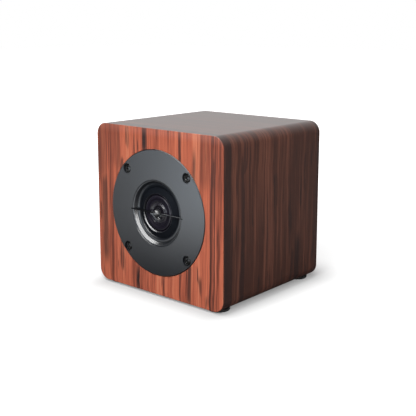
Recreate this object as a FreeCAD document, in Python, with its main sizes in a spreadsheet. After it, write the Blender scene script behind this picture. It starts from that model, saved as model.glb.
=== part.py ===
import FreeCAD, Part
import math
import os
import Sketcher

# A small wooden cabinet with one tweeter in a round, dished faceplate.
# Millimetres. X runs to the right seen from the front, Y runs back, Z runs up.
# Depths are counted back from the cabinet's front face, heights up from the floor.

SIZES = {
    # cabinet
    "cabinet_width": 140.0,
    "cabinet_height": 137.0,
    "cabinet_depth": 129.0,
    "corner_radius": 9.8,
    "board_thickness": 12.0,
    "baffle_thickness": 15.0,
    "rear_thickness": 12.0,
    "veneer_thickness": 0.6,
    "arris": 0.25,
    # feet
    "foot_radius": 9.0,
    "foot_height": 2.2,
    "foot_round": 0.9,
    "foot_side_inset": 14.2,
    "foot_front_inset": 12.0,
    "foot_rear_inset": 10.0,
    # faceplate, with a dish round the diaphragm
    "plate_radius": 52.0,
    "plate_flange": 4.0,
    "plate_proud": 0.5,
    "plate_edge": 0.5,
    "plate_clearance": 0.25,
    "hub_radius": 36.5,
    "hub_floor": 1.2,
    "mouth_radius": 27.6,
    "lip_round": 1.6,
    "wall_angle": 52.0,
    "dish_depth": 4.0,
    "dish_round": 3.0,
    "rise_angle": 24.0,
    "crest_radius": 16.0,
    "crest_chamfer": 0.7,
    "throat_radius": 15.4,
    "cutout_clearance": 1.0,
    "gasket_thickness": 1.0,
    "gasket_inset": 1.5,
    # bar and ball across the dish
    "bar_thickness": 1.1,
    "bar_depth": 1.3,
    "bar_anchor": 1.4,
    "ball_radius": 3.1,
    "ball_centre": 1.1,
    # faceplate screws
    "plate_screw_circle": 94.0,
    "screw_radius": 1.75,
    "screw_length": 17.0,
    "screw_head_radius": 3.7,
    "screw_head_dome": 1.2,
    "screw_head_rim": 0.8,
    "recess_radius": 4.3,
    "recess_depth": 1.7,
    "screw_clearance": 0.3,
    "pilot_clearance": 0.05,
    # diaphragm
    "diaphragm_depth": 2.6,
    "dome_radius": 10.9,
    "dome_rim": 1.0,
    "dome_dip": 2.6,
    "dome_wall": 0.4,
    "roll_half_width": 1.95,
    "roll_rise": 1.2,
    "roll_wall": 0.3,
    "flange_width": 2.9,
    "former_radius": 10.2,
    "former_wall": 0.3,
    "former_length": 8.4,
    "coil_wall": 0.45,
    "coil_length": 3.4,
    "coil_start": 5.0,
    "glue_gap": 0.05,
    # motor
    "carrier_radius": 36.0,
    "carrier_thickness": 2.6,
    "air_gap": 0.35,
    "top_plate_radius": 36.0,
    "top_plate_thickness": 4.0,
    "magnet_radius": 29.5,
    "magnet_bore": 16.0,
    "magnet_thickness": 10.0,
    "yoke_radius": 27.5,
    "yoke_thickness": 4.5,
    "vent_radius": 4.0,
    "felt_thickness": 1.2,
    "felt_margin": 0.9,
    "chamber_radius": 25.0,
    "chamber_depth": 18.0,
    "chamber_wall": 2.0,
    "chamber_felt": 6.0,
    "motor_screw_circle": 66.0,
    "motor_screw_radius": 1.5,
    "motor_screw_length": 9.6,
    "motor_head_radius": 2.6,
    "motor_head_height": 2.0,
    # driver's solder tabs
    "strip_width": 20.0,
    "strip_height": 4.6,
    "strip_thickness": 1.6,
    "tab_spacing": 10.0,
    "tab_width": 2.8,
    "tab_thickness": 0.8,
    "tab_length": 9.0,
    # terminal cup
    "terminal_height": 62.0,
    "cup_flange_radius": 38.0,
    "cup_flange": 2.4,
    "cup_mouth_radius": 26.5,
    "cup_floor_radius": 24.5,
    "cup_depth": 20.0,
    "cup_wall": 2.0,
    "cup_round": 1.0,
    "cup_gasket": 1.0,
    "cup_screw_circle": 66.0,
    "cup_screw_radius": 1.45,
    "cup_screw_length": 13.0,
    "cup_head_radius": 2.9,
    "cup_head_height": 1.3,
    # binding posts
    "post_spacing": 19.0,
    "stud_radius": 3.0,
    "stud_inside": 9.0,
    "socket_radius": 2.0,
    "socket_depth": 13.0,
    "wire_hole_radius": 0.9,
    "collar_radius": 6.0,
    "collar_thickness": 3.4,
    "thread_clearance": 0.08,
    "insert_radius": 4.3,
    "insert_length": 9.0,
    "cap_radius": 6.2,
    "cap_length": 15.0,
    "cap_end": 1.6,
    "cap_round": 1.0,
    "cap_gap": 0.3,
    "flute_radius": 0.9,
    "flute_inset": 2.0,
    "nut_flats": 10.0,
    "nut_thickness": 4.6,
    "tag_thickness": 0.8,
    "tag_radius": 5.2,
    "tag_width": 3.6,
    "tag_length": 12.5,
    # filter, wiring and filling
    "board_width": 58.0,
    "board_length": 34.0,
    "filter_board_thickness": 1.6,
    "board_centre": 84.0,
    "capacitor_radius": 8.0,
    "capacitor_length": 30.0,
    "board_screw_radius": 1.4,
    "board_screw_length": 8.0,
    "board_screw_inset": 4.0,
    "pad_inset": 8.0,
    "lead_radius": 1.0,
    "lead_stub": 10.0,
    "lead_swing": 12.0,
    "lead_sag": 4.0,
    "filling_gap": 0.3,
    "filling_front_gap": 7.8,
    "filling_rear_gap": 4.4,
    "filling_rise": 16.0,
    "filling_round": 9.0,
}

# A cutter starts and ends this far outside what it cuts.
OVERRUN = 1.0
SCREW_POINT_IN_RADII = 2.0
FLUTES = 14
SCREWS_IN_A_RING = 4
FIRST_SCREW_ANGLE = 45.0
FULL_TURN = 360.0
HALF_DIAGONAL = math.sqrt(0.5)
ARC_SHARE = 0.45
NEAR = 1e-6

doc = FreeCAD.newDocument("tweeter_cabinet")
sheet = doc.addObject("Spreadsheet::Sheet", "Sizes")
for row, (alias, number) in enumerate(SIZES.items(), start=1):
    sheet.set(f"A{row}", alias)
    sheet.set(f"B{row}", str(number))
    sheet.setAlias(f"B{row}", alias)
doc.recompute()


class Size:
    """A length or angle with its present value and the sheet formula it follows."""

    def __init__(self, value, formula):
        self.value = float(value)
        self.formula = formula

    def __add__(self, other):
        other = as_size(other)
        return Size(self.value + other.value, f"({self.formula} + {other.formula})")

    def __radd__(self, other):
        return as_size(other) + self

    def __sub__(self, other):
        other = as_size(other)
        return Size(self.value - other.value, f"({self.formula} - {other.formula})")

    def __rsub__(self, other):
        return as_size(other) - self

    def __mul__(self, other):
        other = as_size(other)
        return Size(self.value * other.value, f"({self.formula} * {other.formula})")

    def __rmul__(self, other):
        return as_size(other) * self

    def __truediv__(self, other):
        other = as_size(other)
        return Size(self.value / other.value, f"({self.formula} / {other.formula})")

    def __neg__(self):
        return as_size(0) - self


def as_size(number):
    if isinstance(number, Size):
        return number
    return Size(number, f"{float(number):.9f}")


def sine(angle):
    return Size(math.sin(math.radians(angle.value)), f"sin({angle.formula} * 1deg)")


def cosine(angle):
    return Size(math.cos(math.radians(angle.value)), f"cos({angle.formula} * 1deg)")


def root(number):
    return Size(math.sqrt(number.value), f"sqrt({number.formula})")


class Sizes:
    """Every cell of the sheet, by its alias."""

    def __getattr__(self, alias):
        return Size(SIZES[alias], f"Sizes.{alias}")


s = Sizes()
kept = []

# Sizes and places that several pieces share.

centre_height = s.foot_height + s.cabinet_height / 2
core_half_width = s.cabinet_width / 2 - s.veneer_thickness
core_half_height = s.cabinet_height / 2 - s.veneer_thickness
inner_half_width = core_half_width - s.board_thickness
inner_half_height = core_half_height - s.board_thickness
core_depth = s.cabinet_depth - 2 * s.veneer_thickness
rear_inside = s.cabinet_depth - s.veneer_thickness - s.rear_thickness
inner_floor = centre_height - inner_half_height

rebate_depth = s.plate_flange - s.plate_proud + s.gasket_thickness
rebate_radius = s.plate_radius + s.plate_clearance
cutout_radius = s.hub_radius + s.cutout_clearance
ball_reach = s.plate_proud + s.ball_radius - s.ball_centre

hub_back = s.dish_depth + s.hub_floor - s.plate_proud
surround_back = s.diaphragm_depth + s.roll_wall
former_outer = s.former_radius + s.former_wall
coil_outer = former_outer + s.coil_wall
gap_outer = coil_outer + s.air_gap
pole_radius = s.former_radius - s.air_gap
roll_centre = s.dome_radius + s.glue_gap + s.roll_half_width
roll_outer = roll_centre + s.roll_half_width
flange_outer = roll_outer + s.flange_width
carrier_back = hub_back + s.carrier_thickness
top_plate_back = carrier_back + s.top_plate_thickness
magnet_back = top_plate_back + s.magnet_thickness
yoke_back = magnet_back + s.yoke_thickness
chamber_back = yoke_back + s.chamber_depth
strip_middle = centre_height - (s.magnet_radius + s.top_plate_radius) / 2

cup_face = s.cabinet_depth + s.cup_gasket + s.cup_flange
cup_floor = cup_face - s.cup_depth
cup_inside = cup_floor - s.cup_wall
cup_body_radius = s.cup_mouth_radius + s.cup_wall
collar_top = cup_floor + s.collar_thickness
cap_start = collar_top + s.cap_gap
rear_reach = s.cup_gasket + s.cup_flange + s.cup_head_height

board_top = inner_floor + s.filter_board_thickness
board_screw_reach = s.board_width / 2 - s.board_screw_inset

front_face = (ball_reach - s.cabinet_depth - rear_reach) / 2

# A rod made upright runs back after this turn, and a turned piece faces down.
TIPPED = FreeCAD.Rotation(FreeCAD.Vector(1, 0, 0), -90)
UPRIGHT = FreeCAD.Rotation()


def bind(item, field, size):
    item.setExpression(field, as_size(size).formula)


def place(item, across, depth, height, turn=UPRIGHT):
    """Puts an object at a place that follows the sheet."""
    item.Placement = FreeCAD.Placement(FreeCAD.Vector(), turn)
    bind(item, "Placement.Base.x", across)
    bind(item, "Placement.Base.y", front_face + depth)
    bind(item, "Placement.Base.z", height)
    return item


def keep(item):
    kept.append(item)
    return item


def arc_between(start, end, radius, centre_on_left):
    """The short arc from start to end, with its ends in the order a sketch gives them."""
    way = end - start
    middle = (start + end) / 2
    side = FreeCAD.Vector(-way.y, way.x, 0).normalize()
    if not centre_on_left:
        side = side.negative()
    centre = middle + side * math.sqrt(max(radius ** 2 - (way.Length / 2) ** 2, 0.0))
    first, last = (start, end) if centre_on_left else (end, start)
    begin = math.atan2(first.y - centre.y, first.x - centre.x)
    finish = math.atan2(last.y - centre.y, last.x - centre.x)
    if finish < begin:
        finish += 2 * math.pi
    return Part.ArcOfCircle(Part.Circle(centre, FreeCAD.Vector(0, 0, 1), radius), begin, finish)


def hold_point(sketch, geometry, end, u, v):
    """Ties one end of a line or arc to its distances from the sketch's axes."""
    for kind, distance, axis in (("DistanceX", u, -2), ("DistanceY", v, -1)):
        size = as_size(distance)
        if abs(size.value) < NEAR:
            sketch.addConstraint(Sketcher.Constraint("PointOnObject", geometry, end, axis))
            continue
        index = sketch.addConstraint(Sketcher.Constraint(kind, -1, 1, geometry, end, size.value))
        sketch.setExpression(f"Constraints[{index}]", size.formula)


def draw_outline(sketch, outline):
    """Draws a closed outline. A corner is (u, v), or (u, v, bend) where an arc follows it.

    The bend is the arc's radius, with a minus where its centre is on the right of the way.
    """
    corners = [FreeCAD.Vector(as_size(c[0]).value, as_size(c[1]).value, 0) for c in outline]
    pieces = []
    for index, corner in enumerate(outline):
        start = corners[index]
        end = corners[(index + 1) % len(corners)]
        if len(corner) == 2:
            geometry = sketch.addGeometry(Part.LineSegment(start, end), False)
            pieces.append((geometry, 1, 2))
            continue
        bend = as_size(corner[2])
        on_left = bend.value > 0
        arc = arc_between(start, end, abs(bend.value), on_left)
        geometry = sketch.addGeometry(arc, False)
        pieces.append((geometry, 1, 2) if on_left else (geometry, 2, 1))
        radius = bend if on_left else -bend
        held = sketch.addConstraint(Sketcher.Constraint("Radius", geometry, radius.value))
        sketch.setExpression(f"Constraints[{held}]", radius.formula)
    for index, (geometry, begin, finish) in enumerate(pieces):
        following, following_begin, _ = pieces[(index + 1) % len(pieces)]
        joined = Sketcher.Constraint("Coincident", geometry, finish, following, following_begin)
        sketch.addConstraint(joined)
    for (geometry, begin, finish), corner in zip(pieces, outline):
        hold_point(sketch, geometry, begin, corner[0], corner[1])


def draw_circle(sketch, radius, up):
    centre = FreeCAD.Vector(0, up.value, 0)
    circle = Part.Circle(centre, FreeCAD.Vector(0, 0, 1), radius.value)
    geometry = sketch.addGeometry(circle, False)
    hold_point(sketch, geometry, 3, 0, up)
    held = sketch.addConstraint(Sketcher.Constraint("Radius", geometry, radius.value))
    sketch.setExpression(f"Constraints[{held}]", radius.formula)


def new_sketch(body, plane, name):
    sketch = body.newObject("Sketcher::SketchObject", name)
    origin = next(f for f in body.Origin.OriginFeatures if f.Role == plane)
    sketch.AttachmentSupport = [(origin, "")]
    sketch.MapMode = "FlatFace"
    return sketch


def turned(label, outline, across, depth, height, turn=UPRIGHT):
    """A round piece: its half outline, as (radius, depth) corners, turned about its axis."""
    body = doc.addObject("PartDesign::Body", label)
    sketch = new_sketch(body, "XY_Plane", f"{label}_outline")
    draw_outline(sketch, outline)
    revolution = body.newObject("PartDesign::Revolution", f"{label}_round")
    revolution.Profile = sketch
    revolution.ReferenceAxis = (sketch, ["V_Axis"])
    revolution.Angle = FULL_TURN
    return place(body, across, depth, height, turn)


def extruded(label, outlines, length, across, depth, height, turn=UPRIGHT, hole=None):
    """A piece of one section, drawn in (across, up) corners and drawn out along its depth.

    A hole is a (radius, up) pair, round and right through.
    """
    body = doc.addObject("PartDesign::Body", label)
    sketch = new_sketch(body, "XZ_Plane", f"{label}_outline")
    for outline in outlines:
        draw_outline(sketch, outline)
    if hole is not None:
        draw_circle(sketch, *hole)
    pad = body.newObject("PartDesign::Pad", f"{label}_length")
    pad.Profile = sketch
    pad.Reversed = True
    bind(pad, "Length", length)
    return place(body, across, depth, height, turn)


def rod(label, radius, length, across, depth, height, turn=TIPPED):
    item = doc.addObject("Part::Cylinder", label)
    bind(item, "Radius", radius)
    bind(item, "Height", length)
    return place(item, across, depth, height, turn)


def block(label, width, length, rise, across, depth, height):
    """A box centred on its place from left to right, with its front bottom edge there."""
    item = doc.addObject("Part::Box", label)
    bind(item, "Length", width)
    bind(item, "Width", length)
    bind(item, "Height", rise)
    return place(item, as_size(across) - as_size(width) / 2, depth, height)


def gathered(label, items):
    group = doc.addObject("Part::Compound", label)
    group.Links = items
    return group


def fused(label, items):
    joined = doc.addObject("Part::MultiFuse", label)
    joined.Shapes = items
    return joined


def cut(label, base, tools):
    removed = tools[0] if len(tools) == 1 else fused(f"{label}_openings", tools)
    result = doc.addObject("Part::Cut", label)
    result.Base = base
    result.Tool = removed
    return result


def ring_places(circle):
    """The places of four screws on a circle, as (across, up) from its centre."""
    places = []
    for index in range(SCREWS_IN_A_RING):
        angle = math.radians(FIRST_SCREW_ANGLE + index * FULL_TURN / SCREWS_IN_A_RING)
        places.append((circle / 2 * math.cos(angle), circle / 2 * math.sin(angle)))
    return places


def ring_outline(inner, outer, thickness):
    return [(inner, 0), (outer, 0), (outer, thickness), (inner, thickness)]


def rounded_rectangle(half_width, half_height, radius):
    """Corners of a rectangle with round corners, from its lower right, anticlockwise."""
    flat_width = half_width - radius
    flat_height = half_height - radius
    return [
        (flat_width, -half_height, radius), (half_width, -flat_height),
        (half_width, flat_height, radius), (flat_width, half_height),
        (-flat_width, half_height, radius), (-half_width, flat_height),
        (-half_width, -flat_height, radius), (-flat_width, -half_height),
    ]


# Cabinet: four mitred boards, a baffle and a rear panel set between them, and their veneer.


def mitred_board(label, half_run, half_reach, angle):
    """One wall of the cabinet, mitred into its neighbours through the round corners."""
    radius = s.corner_radius - s.veneer_thickness
    nip = radius * (1 - HALF_DIAGONAL)
    section = [
        (-(half_run - s.board_thickness), half_reach - s.board_thickness),
        (half_run - s.board_thickness, half_reach - s.board_thickness),
        (half_run - nip, half_reach - nip, radius),
        (half_run - radius, half_reach),
        (-(half_run - radius), half_reach, radius),
        (-(half_run - nip), half_reach - nip),
    ]
    turn = FreeCAD.Rotation(FreeCAD.Vector(0, 1, 0), angle)
    return extruded(label, [section], core_depth, 0, s.veneer_thickness, centre_height, turn)


def make_walls():
    keep(mitred_board("top_panel", core_half_width, core_half_height, 0))
    keep(mitred_board("right_panel", core_half_height, core_half_width, 90))
    keep(mitred_board("left_panel", core_half_height, core_half_width, 270))
    bottom = mitred_board("bottom_blank", core_half_width, core_half_height, 180)
    pilots = []
    for name, side in (("left", -1), ("right", 1)):
        pilots.append(rod(f"floor_pilot_{name}", s.board_screw_radius + s.pilot_clearance,
                          s.board_screw_length + OVERRUN, side * board_screw_reach,
                          s.board_centre,
                          board_top - s.board_screw_length - s.pilot_clearance, UPRIGHT))
    keep(cut("bottom_panel", bottom, pilots))


def make_wrap():
    """The veneer round the four walls: one sheet with its grain round the corners."""
    outside = rounded_rectangle(s.cabinet_width / 2, s.cabinet_height / 2, s.corner_radius)
    inside_radius = s.corner_radius - s.veneer_thickness
    inside = rounded_rectangle(core_half_width, core_half_height, inside_radius)
    keep(extruded("side_veneer", [outside, inside], core_depth, 0, s.veneer_thickness,
                  centre_height))


def face_veneer(label, hole, depth, face):
    """A sheet of veneer over a whole end of the cabinet, its outer arris taken off."""
    outline = rounded_rectangle(s.cabinet_width / 2, s.cabinet_height / 2, s.corner_radius)
    body = extruded(label, [outline], s.veneer_thickness, 0, depth, centre_height, hole=hole)
    doc.recompute()
    pad = body.Tip
    rim = []
    for index, edge in enumerate(pad.Shape.Edges, start=1):
        box = edge.BoundBox
        on_face = max(abs(box.YMax - face.value), abs(box.YMin - face.value)) < NEAR
        on_hole = abs(edge.Length - 2 * math.pi * hole[0].value) < NEAR
        if on_face and not on_hole:
            rim.append(f"Edge{index}")
    chamfer = body.newObject("PartDesign::Chamfer", f"{label}_arris")
    chamfer.Base = (pad, rim)
    bind(chamfer, "Size", s.arris)
    return body


def make_face_veneers():
    front_face_plane = as_size(0)
    keep(face_veneer("front_veneer", (rebate_radius, as_size(0)), 0, front_face_plane))
    rear_hole = (cup_body_radius + s.plate_clearance, s.terminal_height - centre_height)
    rear_depth = s.cabinet_depth - s.veneer_thickness
    rear = face_veneer("rear_veneer_blank", rear_hole, rear_depth, s.veneer_thickness)
    keep(cut("rear_veneer", rear, cup_screw_bores("rear_veneer", rear_depth - OVERRUN,
                                                  s.veneer_thickness + 2 * OVERRUN)))


def make_baffle():
    """The front board, with a rebate for the faceplate and a hole for the motor."""
    width = 2 * inner_half_width
    rise = 2 * inner_half_height
    start = s.veneer_thickness
    blank = block("baffle_blank", width, s.baffle_thickness, rise, 0, start, inner_floor)
    rebate = rod("baffle_rebate", rebate_radius, rebate_depth, 0, 0, centre_height)
    hole_length = s.baffle_thickness + 2 * start
    hole = rod("baffle_hole", cutout_radius, hole_length, 0, 0, centre_height)
    tools = [rebate, hole]
    pilot_length = s.screw_length - s.gasket_thickness
    for index, (across, up) in enumerate(ring_places(s.plate_screw_circle), start=1):
        tools.append(rod(f"baffle_pilot_{index}", s.screw_radius + s.pilot_clearance, pilot_length,
                         across, rebate_depth - s.gasket_thickness, centre_height + up))
    keep(cut("front_baffle", blank, tools))


def make_rear_panel():
    """The rear board, with a hole for the terminal cup."""
    width = 2 * inner_half_width
    rise = 2 * inner_half_height
    blank = block("rear_blank", width, s.rear_thickness, rise, 0, rear_inside, inner_floor)
    hole = rod("rear_hole", cup_body_radius + s.plate_clearance,
               s.rear_thickness + 2 * OVERRUN, 0, rear_inside - OVERRUN, s.terminal_height)
    pilots = cup_screw_bores("rear_panel", cup_face - s.cup_flange - s.cup_screw_length,
                             s.cup_screw_length)
    keep(cut("rear_panel", blank, [hole] + pilots))


def make_feet():
    """Four rubber pads stuck under the cabinet, their lower edge rounded."""
    near = s.foot_front_inset
    far = s.cabinet_depth - s.foot_rear_inset
    side = s.cabinet_width / 2 - s.foot_side_inset
    outline = [
        (0, 0), (s.foot_radius, 0), (s.foot_radius, s.foot_height - s.foot_round, s.foot_round),
        (s.foot_radius - s.foot_round, s.foot_height), (0, s.foot_height),
    ]
    feet = []
    for name, across, depth in (("front_left", -side, near), ("front_right", side, near),
                                ("rear_left", -side, far), ("rear_right", side, far)):
        feet.append(turned(f"foot_{name}", outline, across, depth, s.foot_height, TIPPED))
    keep(gathered("rubber_feet", feet))


# Driver: faceplate, bar and ball, diaphragm and motor, all on one axis.


def make_faceplate():
    """The round faceplate: its dish falls from a rolled lip and rises again to the throat."""
    wall_slope = sine(s.wall_angle) / cosine(s.wall_angle)
    rise_slope = sine(s.rise_angle) / cosine(s.rise_angle)
    wall_drop = 1 - cosine(s.wall_angle)
    lip_end_radius = s.mouth_radius - s.lip_round * sine(s.wall_angle)
    lip_end_depth = s.lip_round * wall_drop
    wall_end_depth = s.dish_depth - s.dish_round * wall_drop
    wall_end_radius = lip_end_radius - (wall_end_depth - lip_end_depth) / wall_slope
    bottom_radius = wall_end_radius - s.dish_round * sine(s.wall_angle)
    rise_start_radius = bottom_radius - s.dish_round * sine(s.rise_angle)
    rise_start_depth = s.dish_depth - s.dish_round * (1 - cosine(s.rise_angle))
    crest_depth = rise_start_depth - (rise_start_radius - s.crest_radius) * rise_slope
    hub = s.dish_depth + s.hub_floor
    seat = s.diaphragm_depth + s.plate_proud
    step = flange_outer + s.plate_clearance
    outline = [
        (s.throat_radius, seat),
        (s.throat_radius, crest_depth + s.crest_chamfer),
        (s.crest_radius, crest_depth),
        (rise_start_radius, rise_start_depth, s.dish_round),
        (wall_end_radius, wall_end_depth),
        (lip_end_radius, lip_end_depth, -s.lip_round),
        (s.mouth_radius, 0),
        (s.plate_radius - s.plate_edge, 0, s.plate_edge),
        (s.plate_radius, s.plate_edge),
        (s.plate_radius, s.plate_flange),
        (s.hub_radius, s.plate_flange),
        (s.hub_radius, hub),
        (step, hub),
        (step, seat),
    ]
    blank = turned("faceplate_blank", outline, 0, -s.plate_proud, centre_height)
    tools = []
    for index, (across, up) in enumerate(ring_places(s.plate_screw_circle), start=1):
        height = centre_height + up
        tools.append(rod(f"plate_recess_{index}", s.recess_radius, s.recess_depth + OVERRUN,
                         across, -s.plate_proud - OVERRUN, height))
        tools.append(rod(f"plate_bore_{index}", s.screw_radius + s.screw_clearance,
                         s.plate_flange + OVERRUN, across, -s.plate_proud, height))
    tap_depth = s.motor_screw_length - s.top_plate_thickness - s.carrier_thickness
    for index, (across, up) in enumerate(ring_places(s.motor_screw_circle), start=1):
        tools.append(rod(f"hub_tap_{index}", s.motor_screw_radius + s.pilot_clearance,
                         tap_depth + OVERRUN + s.pilot_clearance,
                         across, hub_back - tap_depth - s.pilot_clearance, centre_height + up))
    slot_width = 2 * (s.mouth_radius + s.bar_anchor)
    tools.append(block("bar_slot", slot_width, s.bar_depth + OVERRUN, s.bar_thickness, 0,
                       -s.plate_proud - OVERRUN, centre_height - s.bar_thickness / 2))
    keep(cut("faceplate", blank, tools))


def make_phase_bar():
    """A thin bar across the dish, let into its lip, with a ball on the axis."""
    width = 2 * (s.mouth_radius + s.bar_anchor)
    bar = block("phase_blade", width, s.bar_depth, s.bar_thickness, 0, -s.plate_proud,
                centre_height - s.bar_thickness / 2)
    outline = [
        (0, 0, s.ball_radius),
        (s.ball_radius, s.ball_radius, s.ball_radius),
        (0, 2 * s.ball_radius),
    ]
    ball = turned("phase_ball", outline, 0, -ball_reach, centre_height)
    keep(fused("phase_bar", [bar, ball]))


def make_plate_gasket():
    inner = cutout_radius + s.gasket_inset
    outer = s.plate_radius - s.gasket_inset
    depth = s.plate_flange - s.plate_proud
    ring = turned("gasket_blank", ring_outline(inner, outer, s.gasket_thickness), 0, depth,
                  centre_height)
    holes = []
    for index, (across, up) in enumerate(ring_places(s.plate_screw_circle), start=1):
        holes.append(rod(f"gasket_hole_{index}", s.screw_radius + s.screw_clearance,
                         s.gasket_thickness + 2 * OVERRUN, across, depth - OVERRUN,
                         centre_height + up))
    keep(cut("faceplate_gasket", ring, holes))


def screw_outline(head_radius, rim, dome, radius, length):
    """A pan-head screw from the middle of its head to its pointed end."""
    dome_round = (head_radius * head_radius + dome * dome) / (2 * dome)
    under = rim + dome
    point = SCREW_POINT_IN_RADII * radius
    return [
        (0, 0, dome_round),
        (head_radius, dome),
        (head_radius, under),
        (radius, under),
        (radius, under + length - point),
        (0, under + length),
    ]


def make_faceplate_screws():
    outline = screw_outline(s.screw_head_radius, s.screw_head_rim, s.screw_head_dome,
                            s.screw_radius, s.screw_length)
    seat = s.recess_depth - s.plate_proud
    depth = seat - s.screw_head_rim - s.screw_head_dome
    screws = []
    for index, (across, up) in enumerate(ring_places(s.plate_screw_circle), start=1):
        screws.append(turned(f"faceplate_screw_{index}", outline, across, depth,
                             centre_height + up))
    keep(gathered("faceplate_screws", screws))


def make_dome():
    """The diaphragm: a thin dome that dips inward, with a flat rim to glue it by."""
    edge = s.dome_radius - s.dome_rim
    sphere = (edge * edge + s.dome_dip * s.dome_dip) / (2 * s.dome_dip)
    outer_sphere = sphere + s.dome_wall
    drop = outer_sphere - s.dome_dip
    back_edge = root(outer_sphere * outer_sphere - drop * drop)
    outline = [
        (0, s.dome_dip, -sphere), (edge, 0),
        (s.dome_radius, 0), (s.dome_radius, s.dome_wall),
        (back_edge, s.dome_wall, outer_sphere), (0, s.dome_dip + s.dome_wall),
    ]
    keep(turned("dome", outline, 0, s.diaphragm_depth - s.dome_wall, centre_height))


def make_surround():
    """The low roll that carries the dome, with a glue rim inside and a flange outside."""
    half = s.roll_half_width
    rise = s.roll_rise
    roll_round = (half * half + rise * rise) / (2 * rise)
    inner_round = roll_round - s.roll_wall
    drop = inner_round - rise
    bore = root(inner_round * inner_round - drop * drop)
    inner_rim = former_outer + s.glue_gap
    outline = [
        (inner_rim, rise),
        (roll_centre - half, rise, roll_round),
        (roll_centre, 0, roll_round),
        (roll_outer, rise),
        (flange_outer, rise),
        (flange_outer, rise + s.roll_wall),
        (roll_centre + bore, rise + s.roll_wall, -inner_round),
        (roll_centre, s.roll_wall, -inner_round),
        (roll_centre - bore, rise + s.roll_wall),
        (inner_rim, rise + s.roll_wall),
    ]
    keep(turned("surround", outline, 0, s.diaphragm_depth - rise, centre_height))


def make_coil():
    """The former glued under the dome's rim, and the winding round it."""
    former = ring_outline(s.former_radius, former_outer, s.former_length)
    keep(turned("coil_former", former, 0, s.diaphragm_depth, centre_height))
    coil = ring_outline(former_outer, coil_outer, s.coil_length)
    keep(turned("voice_coil", coil, 0, s.diaphragm_depth + s.coil_start, centre_height))


def make_carrier():
    """The ring between hub and motor, with a collar that holds the surround in the hub."""
    collar = hub_back - surround_back
    back = collar + s.carrier_thickness
    outline = [
        (s.throat_radius, 0), (flange_outer, 0), (flange_outer, collar),
        (s.carrier_radius, collar), (s.carrier_radius, back), (s.throat_radius, back),
    ]
    ring = turned("carrier_blank", outline, 0, surround_back, centre_height)
    keep(cut("carrier_ring", ring, motor_bores("carrier", hub_back, s.carrier_thickness)))


def motor_bores(name, depth, thickness):
    bores = []
    for index, (across, up) in enumerate(ring_places(s.motor_screw_circle), start=1):
        bores.append(rod(f"{name}_bore_{index}", s.motor_screw_radius + s.pilot_clearance,
                         thickness + 2 * OVERRUN, across, depth - OVERRUN,
                         centre_height + up))
    return bores


def make_motor():
    """Top plate, ferrite ring and yoke with its vented pole, and the felt on the pole."""
    plate = turned("top_plate_blank",
                   ring_outline(gap_outer, s.top_plate_radius, s.top_plate_thickness),
                   0, carrier_back, centre_height)
    keep(cut("top_plate", plate, motor_bores("top_plate", carrier_back, s.top_plate_thickness)))
    magnet = ring_outline(s.magnet_bore, s.magnet_radius, s.magnet_thickness)
    keep(turned("magnet", magnet, 0, top_plate_back, centre_height))
    pole_length = s.top_plate_thickness + s.magnet_thickness
    yoke = [
        (s.vent_radius, 0), (pole_radius, 0), (pole_radius, pole_length),
        (s.yoke_radius, pole_length), (s.yoke_radius, pole_length + s.yoke_thickness),
        (s.vent_radius, pole_length + s.yoke_thickness),
    ]
    keep(turned("pole_yoke", yoke, 0, carrier_back, centre_height))
    felt = ring_outline(s.vent_radius, pole_radius - s.felt_margin, s.felt_thickness)
    keep(turned("pole_felt", felt, 0, carrier_back - s.felt_thickness, centre_height))


def make_rear_chamber():
    """The can that closes the vented pole behind, and the felt in its end."""
    inner = s.chamber_radius - s.chamber_wall
    outline = [
        (inner, 0), (s.chamber_radius, 0), (s.chamber_radius, s.chamber_depth),
        (0, s.chamber_depth), (0, s.chamber_depth - s.chamber_wall),
        (inner, s.chamber_depth - s.chamber_wall),
    ]
    keep(turned("rear_chamber", outline, 0, yoke_back, centre_height))
    felt = [
        (0, 0), (inner - s.glue_gap, 0), (inner - s.glue_gap, s.chamber_felt),
        (0, s.chamber_felt),
    ]
    end = yoke_back + s.chamber_depth - s.chamber_wall
    keep(turned("chamber_felt_pad", felt, 0, end - s.chamber_felt, centre_height))


def make_motor_screws():
    """Four screws from behind the top plate into the faceplate's hub."""
    outline = [
        (0, 0), (s.motor_screw_radius, 0),
        (s.motor_screw_radius, s.motor_screw_length),
        (s.motor_head_radius, s.motor_screw_length),
        (s.motor_head_radius, s.motor_screw_length + s.motor_head_height),
        (0, s.motor_screw_length + s.motor_head_height),
    ]
    screws = []
    for index, (across, up) in enumerate(ring_places(s.motor_screw_circle), start=1):
        screws.append(turned(f"motor_screw_{index}", outline, across,
                             top_plate_back - s.motor_screw_length, centre_height + up))
    keep(gathered("motor_screws", screws))


def make_tabs():
    """The insulating strip under the magnet and the two solder tabs that stand on it."""
    keep(block("tab_strip", s.strip_width, s.strip_thickness, s.strip_height, 0, top_plate_back,
               strip_middle - s.strip_height / 2))
    tabs = []
    for name, side in (("left", -1), ("right", 1)):
        tabs.append(block(f"tab_{name}", s.tab_width, s.tab_length, s.tab_thickness,
                          side * s.tab_spacing / 2, top_plate_back + s.strip_thickness,
                          strip_middle - s.tab_thickness / 2))
    keep(gathered("solder_tabs", tabs))


# Terminals: a recessed cup in the rear panel with two binding posts.


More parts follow.
